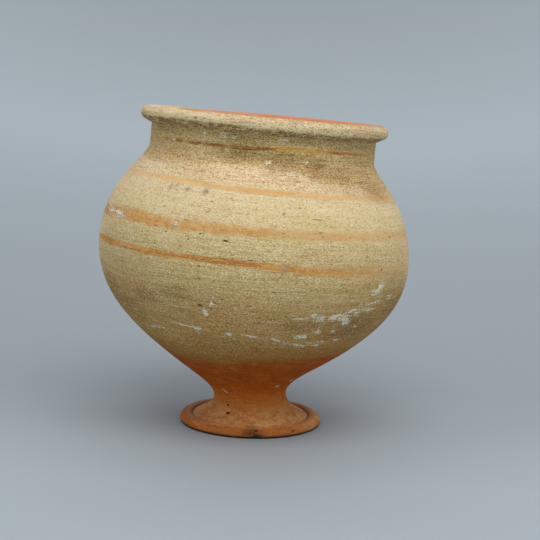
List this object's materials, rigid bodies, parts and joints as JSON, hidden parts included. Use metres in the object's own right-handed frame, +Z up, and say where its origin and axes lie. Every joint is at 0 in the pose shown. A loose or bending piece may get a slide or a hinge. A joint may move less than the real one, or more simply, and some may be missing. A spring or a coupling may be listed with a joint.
{
  "type": "footed clay vessel",
  "caption": "Wheel-turned clay vessel with a rolled rim, short neck, round belly, narrow stem and disc foot, leaning slightly on its flat underside.",
  "frame": {"origin": "centre of the foot's flat underside, on the surface that the vessel stands on", "axes": "+Z up, square to the underside; the vessel is seen from -Y with +X to the right, and its bowl leans a little towards +X"},
  "size_m": [0.1468, 0.1469, 0.1502],
  "materials": {
    "clay": "matt greenish-buff slip over orange clay, dry and slightly rough"
  },
  "bodies": {
    "root": {"vessel": "clay"}
  },
  "joints": []
}
